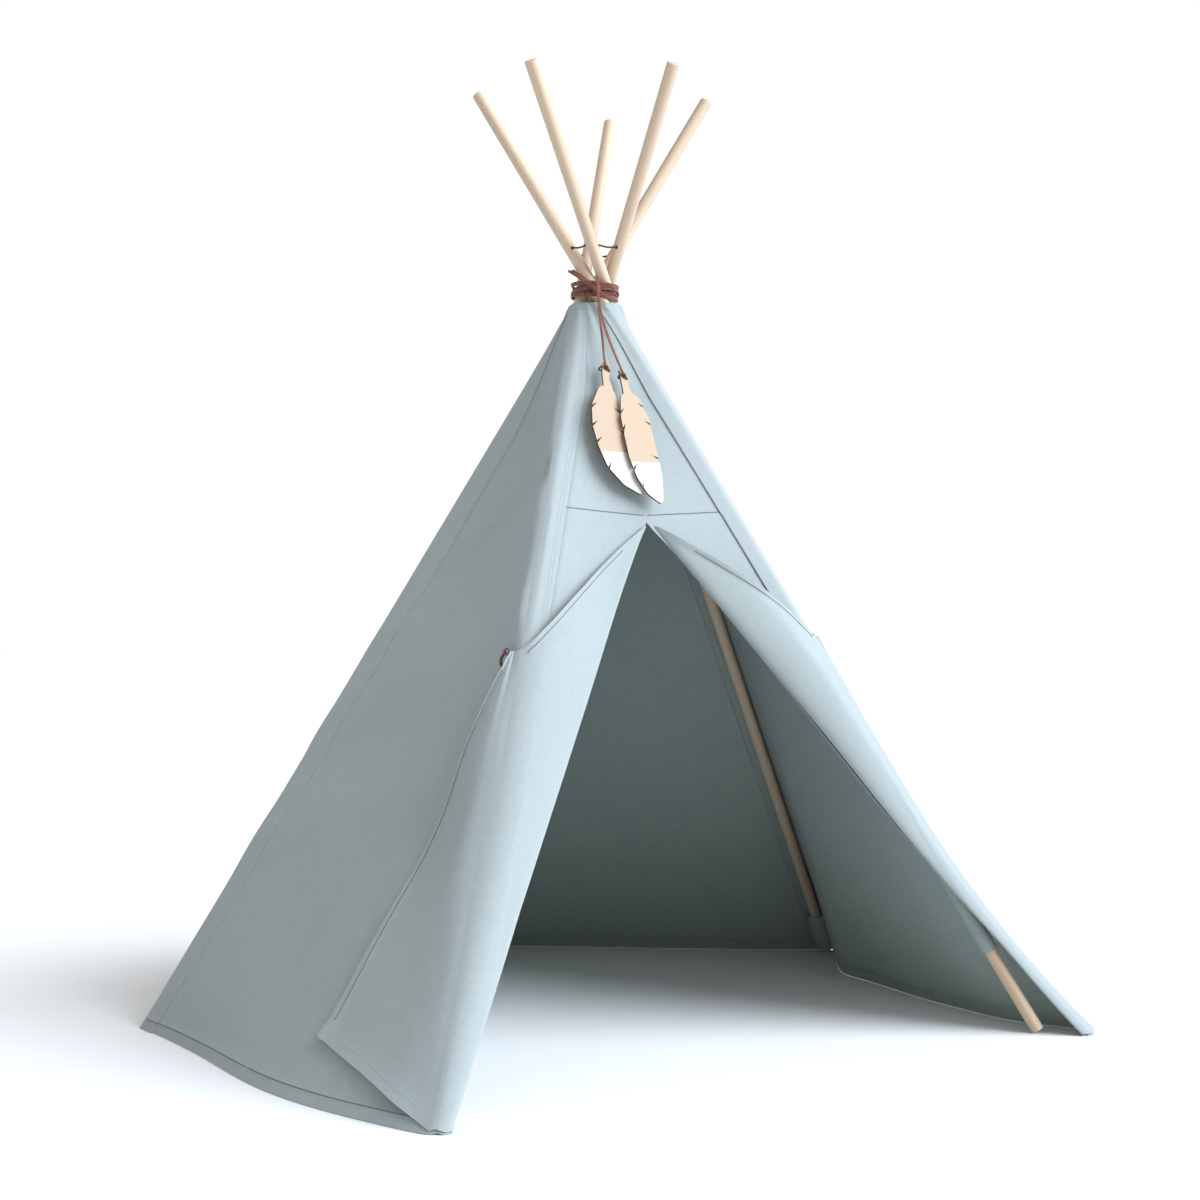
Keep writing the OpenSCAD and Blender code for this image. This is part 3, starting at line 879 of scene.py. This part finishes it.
def half_panel(panel, pole):
    """Half of a panel of the cover, from the middle of the bend round one pole to the panel's middle."""
    front = panel == "front"
    outside = panel_normal(panel)
    extra = [HEM_LOW + HEM_BAND, HEM_LOW + HEM_BAND + ROW_GAP, TOP_H - TOP_BAND, TOP_H - TOP_BAND - ROW_GAP]
    if front:
        extra += [DOOR_H, SEAM_H - 0.0042, SEAM_H - 0.003, SEAM_H + 0.0035, SEAM_H + 0.0045]
    z = heights(HEM_LOW, TOP_H, 0.013, extra)
    width = chord_of(panel, z) / 2
    if front:
        width = np.where(z < DOOR_H, gore_width(pole, z), width)
    round_r = round_for(width, SKIN, ROUND_COVER)
    arc = arc_places(pole, SKIN, round_r, 9)
    seam_at, seam_rise, seam_thread = SEAMED.get((panel, pole), (SEAM_AT, 0, THREADS))
    s, seam_col = columns(width, arc, seam_at)
    round_r = round_r[:, None] * np.ones_like(s)
    zz = np.broadcast_to(z[:, None], s.shape)
    if front:
        # The seam over the door sits lower in the middle.
        to_edge = np.clip(s / width[:, None], 0, 1)
        zz = zz + SEAM_DIP * (1 - to_edge) * np.exp(-(((zz - SEAM_H) / 0.04) ** 2))
    lift = cover_lift(panel, pole, s, zz)
    if (panel, pole) in SEAMED:
        lift += seam_ridge(s.shape[1], seam_col, seam_rise)[None, :]
    lift += TOP_RISE * (zz > TOP_H - TOP_BAND - ROW_GAP / 2)
    if front:
        # The band over the door, and the cloth that rolls out along the door's edge.
        band = (z < SEAM_H + 0.002) * np.clip((z - DOOR_H + 0.12) / 0.12, 0, 1)
        lift += HEM_RISE * band[:, None] * (s > 0)
        wide, deep = roll_size(pole, width)
        d = width[:, None] - s
        back = np.clip(1 - d / np.maximum(wide * 0.45, 0.004)[:, None], 0, 1) ** 2
        below = smoothstep((DOOR_H - zz) / 0.06)
        lift += np.where(zz < DOOR_H, back * (deep * EDGE_SHARE)[:, None] * below, 0)
    else:
        lift += HEM_RISE * (zz < HEM_LOW + HEM_BAND + 0.0004)
    pts = surface(panel, pole, s, zz, lift, SKIN, round_r)
    uv = np.stack([s if pole == PANELS[panel][0] else -s, zz], axis=-1)
    obj = dress(cloth("cover_" + panel + "_at_" + pole, pts, uv, outside), CANVAS)
    # Faces that look inward take the darker canvas, painted shade for the tent's shaded inside.
    obj.data.materials.append(CANVAS_PAINTED_SHADE)
    inner = np.zeros(len(obj.data.polygons), np.int32)
    middle = np.array([f.normal for f in obj.data.polygons])
    inner[middle @ outside < -0.05] = 1
    obj.data.polygons.foreach_set("material_index", inner)
    place(obj, pole, "canvas", *CAD_OF.get((panel, pole), ()))

    sheet, where = (pts, outward_normals(pts, outside)), panel + "_" + pole
    rows = []
    if (panel, pole) in SEAMED:
        low = int(np.searchsorted(z, 0.30)) if front else 0
        # A dark seam gets one row in its groove; on the front-right seam this row also paints the groove's
        # shadow line.
        tags = {"_groove": 1} if seam_thread == THREADS_DARK_AND_PAINTED_SHADE else {"_outer": -1, "_inner": -2}
        for tag, k in tags.items():
            rows.append((where + tag, seam_thread, np.s_[low:, seam_col + k]))
    start = arc.shape[1]
    if front:
        row = int(np.searchsorted(z, SEAM_H + 0.0005))
        rows.append(("door_head_" + pole, THREADS_DARK_AND_PAINTED_SHADE, np.s_[row, start + 3:], STITCH_OVER + 0.0004))
    else:
        row = int(np.searchsorted(z, HEM_LOW + HEM_BAND - 0.002))
        rows.append(("hem_" + where, THREADS_DARK_AND_PAINTED_SHADE, np.s_[row, start:]))
    row = int(np.searchsorted(z, TOP_H - 0.0085))
    rows.append(("top_" + where, THREADS, np.s_[row, 1:]))
    extras = [stitches(name, pole, sheet, panel, pole, *row) for name, *row in rows]
    fold_with(obj, panel, pole)


for panel, pole in HALVES:
    half_panel(panel, pole)


# ---------------------------------------------------------------- the door flaps
def flap_bow(pole, d, width):
    """Height of the folded flap over the strip below it, at distance d from the door's edge."""
    wide, deep = roll_size(pole, width)
    wide = np.maximum(wide, 0.001)
    rise = np.sqrt(np.clip(1 - np.clip(1 - d / wide, 0, 1) ** 2, 0, 1))
    edge = deep * EDGE_SHARE
    settle = smoothstep((d - wide) / np.maximum(width - wide, 0.002))
    return edge + (deep - edge) * rise - (deep - FLAP_GAP) * settle * (deep > FLAP_GAP)


def pucker(along, strength):
    return strength * (np.sin(along * 410) + 0.6 * np.sin(along * 265 + 1.1)) * 0.5


SIDE_OF = {fl: "left", fr: "right"}
FLAP_R = SKIN + FLAP_GAP
# The flaps are cut so that their weave runs at a slant.
SLANT = np.array([[0.94, 0.34], [-0.34, 0.94]])


def finish_flap(obj, body, panel, pole, pts, rows):
    """Sets a flap's body and stitches and gives it a mesh of its own; rows holds each row's name, thread
    and places.
    """
    place(obj, body, "canvas", body)
    sheet = pts, outward_normals(pts, panel_normal(panel))
    extras = [stitches(name, body, sheet, panel, pole, *row) for name, *row in rows]
    fold_with(obj, panel, pole)


def flap_inner(pole):
    """The front part of a folded door flap, from the pole to the door's edge."""
    side = SIDE_OF[pole]
    cross = FLAP_CROSS[pole]
    z = heights(HEM_LOW + 0.003, FLAP_TOP, 0.011, [cross])
    width = gore_width(pole, z)
    round_r = round_for(width, FLAP_R, ROUND_FLAP)
    first_s = -FLAP_R * math.sin(HALF_BEND[pole])
    share = (np.maximum(z - cross, 0) / (FLAP_TOP - cross)) ** 0.93
    start = np.where(z <= cross, first_s, first_s + (width - first_s - 0.003) * share)
    first = np.minimum(0.014, (width - start) * 0.4)[:, None]
    near = start[:, None] + first * np.array([0, 0.12, 0.25, 0.45, 0.7, 1.0])[None, :]
    # The far edge rolls over, so the columns crowd there.
    f = 1 - (1 - np.linspace(0, 1, 30)[1:]) ** 1.8
    rest = near[:, -1:] + (width[:, None] - near[:, -1:]) * f[None, :]
    s = np.concatenate([near, rest], axis=1)
    zz = np.broadcast_to(z[:, None], s.shape)
    bow = flap_bow(pole, width[:, None] - s, width[:, None] * np.ones_like(s))
    edge_band = np.where(zz > cross, np.clip(1 - (s - start[:, None]) / 0.016, 0, 1), 0)
    lift = cover_lift("front", pole, s, zz) + SEAM_RISE * (s < SEAM_AT) * 0.6 + bow
    lift += edge_band * (0.0028 + pucker(zz, 0.0011))
    pts = surface("front", pole, s, zz, lift - FLAP_GAP, FLAP_R, round_r[:, None] * np.ones_like(s))
    uv = np.stack([s, zz], axis=-1) @ SLANT
    obj = dress(cloth("door_flap_" + side + "_front", pts, uv, panel_normal("front")), CANVAS)
    free = np.where(z > cross - 0.004)[0][:-3]
    # The dark row along the flap's free edge also paints the shadow line under it.
    rows = [("flap_" + side + "_front", THREADS_DARK_AND_PAINTED_SHADE, (free, 4))]
    finish_flap(obj, "flap_" + side + "_inner", "front", pole, pts, rows)


def flap_outer(pole):
    """The side part of a folded door flap, from the pole to its free edge."""
    side = SIDE_OF[pole]
    panel = "side_" + side
    v = np.linspace(0, 1, 46)
    arc = np.linspace(-FLAP_R * math.sin(HALF_BEND[pole]), 0, 7)[:-1]
    f = np.concatenate([np.linspace(0, 0.93, 26), [0.945, 0.96, 0.975, 0.99, 1.0]])
    w, zc = FLAP_CORNER[pole]
    foot = HEM_LOW + 0.004
    bottom = foot + (zc - foot) * (0.86 * f + 0.14 * f**7) + FLAP_ARCH[pole] * 4 * f * (1 - f)
    top = FLAP_CROSS[pole]
    z = bottom[None, :] + (top - bottom)[None, :] * v[:, None]
    down = (top - z) / (top - zc)
    line_w = w * down * (1 + FLAP_BOW[pole] * np.sin(np.clip(down, 0, 1) * math.pi)) + 0.0004
    # The part round the pole has the same rows as the edge beside it.
    s_arc = np.broadcast_to(arc[None, :], (len(v), len(arc)))
    s = np.concatenate([s_arc, f[None, :] * line_w], axis=1)
    zz = np.concatenate([np.broadcast_to(z[:, :1], s_arc.shape), z], axis=1)
    ff = np.concatenate([np.zeros_like(arc), f])[None, :] * np.ones_like(s)
    edge = smoothstep((ff - 0.90) / 0.08) * (s > 0)
    lift = cover_lift(panel, pole, s, zz)
    lift += np.where(s > 0, 0.0022 * smoothstep(ff / 0.3) + FLAP_EDGE[pole] * edge, 0)
    lift += 0.0022 * smoothstep(ff / 0.3) * np.sin(zz * 26 + ff * 3.0) * np.clip(1 - zz / top, 0, 1)
    lift += pucker(zz + 0.3 * s, 0.0005) * edge
    hem = np.concatenate([np.full_like(arc, bottom[0]), bottom])[None, :]
    low_edge = np.clip(1 - (zz - hem) / 0.014, 0, 1)
    lift += 0.0009 * (low_edge > 0) + 0.003 * low_edge * smoothstep(ff / 0.2)
    round_r = round_for(gore_width(pole, zz), FLAP_R, ROUND_FLAP)
    pts = surface(panel, pole, s, zz, lift, FLAP_R, round_r)
    uv = np.stack([-s, zz], axis=-1) @ SLANT
    obj = dress(cloth("door_flap_" + side + "_side", pts, uv, panel_normal(panel)), CANVAS)
    # The dark row along the free edge also paints the shadow line under it; the hem row is plain stitching.
    rows = [
        ("flap_" + side + "_edge", THREADS_DARK_AND_PAINTED_SHADE, np.s_[2:-2, len(arc) + 26]),
        ("flap_" + side + "_hem", THREADS, np.s_[1, len(arc) + 2:-2]),
    ]
    finish_flap(obj, "flap_" + side + "_outer", panel, pole, pts, rows)


for pole in (fl, fr):
    flap_inner(pole)
    flap_outer(pole)


# ---------------------------------------------------------------- sleeves and foot pockets
def tube(name, pole, low, top, size, material, rows, ripple, node):
    """A cloth tube round a pole; size is half its width and half its depth."""
    d, inward, (wide, deep) = DIR[pole], -RADIAL[pole], size
    out = unit(inward - (inward @ d) * d)
    side = np.cross(d, out)
    z = np.linspace(low, top, rows)
    a = round_angles(40)
    verts, faces, uvs = [], [], []
    for shift in (0.0, -CLOTH_T):
        for i in range(rows):
            c = at(pole, z[i])
            for ang in a:
                w = wide + shift + ripple * math.sin(z[i] * 210 + ang * 2) * 0.5
                e = deep + shift + ripple * math.sin(z[i] * 160 + ang * 3) * 0.5
                verts.append(c + side * math.cos(ang) * w + out * math.sin(ang) * e)
                uvs.append((ang * wide, z[i]))
    n, count = len(a), rows * len(a)
    for i in range(rows - 1):
        for j in range(n):
            k = (j + 1) % n
            faces.append((i * n + j, i * n + k, (i + 1) * n + k, (i + 1) * n + j))
            faces.append(tuple(count + q for q in (i * n + j, (i + 1) * n + j, (i + 1) * n + k, i * n + k)))
    for i in (0, rows - 1):
        for j in range(n):
            k = (j + 1) % n
            q = (i * n + j, count + i * n + j, count + i * n + k, i * n + k)
            faces.append(q if i == 0 else q[::-1])
    place(dress(add_object(name, verts, faces, uvs), material), pole, "canvas", node)


for pole in ORDER:
    if pole in (fl, fr):
        size, node = (SLEEVE_R, SLEEVE_R), "sleeve_" + pole
        # The front poles' sleeves take the darker canvas, painted shade.
        tube("pole_sleeve_" + pole, pole, SLEEVE_LOW, SLEEVE_TOP, size, CANVAS_PAINTED_SHADE, 120, 0.0003, node)
    else:
        size, node = POCKET_R, "pocket_" + pole
        tube("foot_pocket_" + pole, pole, POCKET_LOW, POCKET_TOP, size, CANVAS, 24, 0.0006, node)


# ---------------------------------------------------------------- the lashing
LACE_DIP, LACE_WOBBLE = 0.0022, 0.0005
# The lashing's turns: height, radius, tilt, the tilt's heading, phase of the small waves.
TURNS = [
    (1.0518, 0.0350, 0.085, 2.6, 0.3), (1.0560, 0.0338, -0.06, 0.4, 1.4), (1.0596, 0.0356, 0.07, 4.2, 2.2),
    (1.0630, 0.0340, -0.10, 1.5, 3.1), (1.0668, 0.0352, 0.11, 3.4, 4.4),
]


def ring_path(z, radius, tilt, turn, phase):
    """One turn of lace round the five poles, pressed in between them, and its outward directions."""
    a = round_angles(120)
    pole_a = math.atan2(RADIAL[fl][1], RADIAL[fl][0])
    r = radius - LACE_DIP * (1 - np.cos(5 * (a - pole_a))) / 2 + LACE_WOBBLE * np.sin(3 * a + phase)
    zz = z + tilt * r * np.cos(a - turn) + LACE_WOBBLE * np.sin(2 * a + phase * 2)
    face = np.stack([np.cos(a), np.sin(a), np.zeros_like(a)], axis=-1)
    return np.stack([r * np.cos(a), r * np.sin(a), zz], axis=-1) + AXIS, face


for i, numbers in enumerate(TURNS):
    path, face = ring_path(*numbers)
    face = unit(face + UP * 0.35 * math.sin(numbers[-1]))
    material = LEATHER if i % 2 == 0 else LEATHER_DARK
    part = dress(strip("lace_turn_%d" % (i + 1), path, face, *TURN_SIZE, ring=True), material)
    place(part, "lashing", "leather_lace", *(["lace_wrap"] if i == 0 else []))

# The strap that comes down from the left front pole to the knot, the knot, and the bow.
KNOT_A = math.radians(-116)
knot_out = np.array([math.cos(KNOT_A), math.sin(KNOT_A), 0])
knot_side = np.array([-math.sin(KNOT_A), math.cos(KNOT_A), 0])
knot_at = AXIS + knot_out * 0.0378 + UP * 1.0560
STRAP_ROUTE = [
    (0, 0.001, 0), (-0.010, 0, 0.009), (-0.024, -0.004, 0.021),
    (-0.036, -0.014, 0.031), (-0.037, -0.030, 0.034),
]
CORE_ROUTE = [(-0.006, 0, 0), (0, 0.0015, 0), (0.006, 0, 0)]
CORE_END = [0.004, 0.0065, 0.008, 0.0085]
core_width = np.array(CORE_END + [0.009] * 8 + CORE_END[::-1])


def by_knot(route):
    """Places given as steps beside, out from and above the middle of the knot."""
    return [knot_at + knot_side * beside + knot_out * out + UP * above for beside, out, above in route]


strap_path = smooth_path(by_knot(STRAP_ROUTE), 40)
turn_path = by_knot(
    (0.0030 * math.cos(a), 0.0026 * math.sin(2 * a) + 0.001, 0.0052 * math.sin(a)) for a in round_angles(28)
)
core_path = smooth_path(by_knot(CORE_ROUTE), len(core_width))
bow_path = by_knot(
    (0.0135 + 0.0115 * math.cos(a), 0.0045 + 0.0010 * math.sin(2 * a), 0.0062 * math.sin(a))
    for a in np.linspace(math.pi, 3 * math.pi, 33)
)
strap = strip("lace_strap", strap_path, knot_out, np.linspace(0.0062, 0.0088, 40), 0.0019)
place(dress(strap, LEATHER), "lashing", "leather_lace")
knot = strip("lace_knot_turn", turn_path, knot_out, 0.0050, 0.0030, ring=True)
place(dress(knot, LEATHER_DARK), "lashing", "leather_lace", "lace_knot")
core = strip("lace_knot_core", core_path, knot_out, core_width, 0.0042)
place(dress(core, LEATHER), "lashing", "leather_lace")
bow = strip("lace_bow_loop", bow_path, knot_out, 0.0038, 0.0018)
place(dress(bow, LEATHER), "lashing", "leather_lace", "lace_bow")

# The thin cord through the drilled holes.
cord_h = WAIST_H + HOLE_RISE
cord_route = []
for name in ORDER:
    p = at(name, cord_h)
    heading = math.atan2(p[1] - AXIS[1], p[0])
    along_hole = np.array([-math.sin(heading), math.cos(heading), 0])
    for k in (-1, -0.5, 0.5, 1):
        cord_route.append(p + along_hole * k * (POLE_R + 0.002))
dense = []
for i in range(len(cord_route)):
    a, b = cord_route[i], cord_route[(i + 1) % len(cord_route)]
    for t in np.linspace(0, 1, 8, endpoint=False):
        sag = 0.0016 * math.sin(math.pi * t) if i % 4 == 3 else 0.0
        dense.append(a + (b - a) * t - UP * sag)
hole_cord = strip("hole_cord", dense, UP, CORD_D, CORD_D, ring=True, round_power=1.0, sides=10)
place(dress(hole_cord, CORD), "lashing", "dark_cord", "threaded_cord")

# ---------------------------------------------------------------- leather ties on the folded flaps
TIE_TURN = np.linspace(-1.25, 1.25, 18)
tie_width = 0.0024 + 0.0034 * np.cos(TIE_TURN) ** 0.8
for pole in (fl, fr):
    side = SIDE_OF[pole]
    low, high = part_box("tie_" + side)
    up = DIR[pole]
    middle = np.array((low + high) / 2) + up * (FLAP_CROSS[pole] - 0.552) / up[2]
    n = panel_normal("side_" + side)
    c = across("side_" + side, pole)
    path = []
    for a in TIE_TURN:
        over = n * (0.0012 * math.cos(a * 1.2)) + c * (math.cos(a) * 0.0095 - 0.0045)
        path.append(middle + over + up * math.sin(a) * 0.0115)
    tie = dress(strip("flap_tie_" + side, path, n, tie_width, 0.0020), LEATHER_DARK)
    loop = []
    for a in round_angles(22):
        over = n * (0.0022 + 0.001 * math.sin(a)) + c * (0.0045 * math.cos(a) - 0.004)
        loop.append(middle + over + up * (0.0095 + 0.004 * math.sin(a)))
    ring = dress(strip("flap_tie_loop_" + side, loop, n, 0.0022, 0.0016, ring=True), LEATHER)
    place(tie, pole, "leather_lace", "tie_" + side)
    place(ring, pole, "leather_lace")

# ---------------------------------------------------------------- CAD nodes that stay: poles and feathers
PINE = rgb(208, 186, 162), rgb(190, 162, 134)
for name in ORDER:
    dress(frame["nodes"]["pole_" + name], wood_material("pine_" + name, FOOT[name], DIR[name], *PINE))


def feather_material(name, line_z):
    """Light plywood with a white painted tip and dark cut edges."""
    s = Shader(name, {"Roughness": 0.6})
    obj = s.coords("Object")
    grain = s.noise(obj, 1.0, 4.0, (700, 700, 26))
    wood = s.mix(grain, rgb(188, 164, 138), rgb(178, 152, 126))
    sep = s.add("ShaderNodeSeparateXYZ")
    s.feed(obj, sep, 0)
    ragged = s.math("MULTIPLY_ADD", s.noise(obj, 600.0), 0.001, (sep, 2))
    painted = s.math("LESS_THAN", ragged, line_z + 0.0005)
    face = s.mix(painted, wood, rgb(204, 201, 198))
    geo = s.add("ShaderNodeNewGeometry")
    dot = s.add("ShaderNodeVectorMath", operation="DOT_PRODUCT")
    s.feed((geo, "True Normal"), dot, 0)
    dot.inputs[1].default_value = Vector(FRONT_NORMAL)
    on_edge = s.math("LESS_THAN", s.math("ABSOLUTE", (dot, "Value")), 0.6)
    burn = s.mix(s.noise(obj, 500.0), rgb(64, 38, 28), rgb(112, 72, 50))
    s.colour(s.mix(on_edge, face, burn))
    s.bump(grain, 0.12, 0.0003)
    return s.mat


for side in ("left", "right"):
    line_z = HANG[side][1] - WHITE_FROM * math.cos(FRONT_SLOPE)
    dress(frame["nodes"]["feather_" + side], feather_material("feather_" + side, line_z))
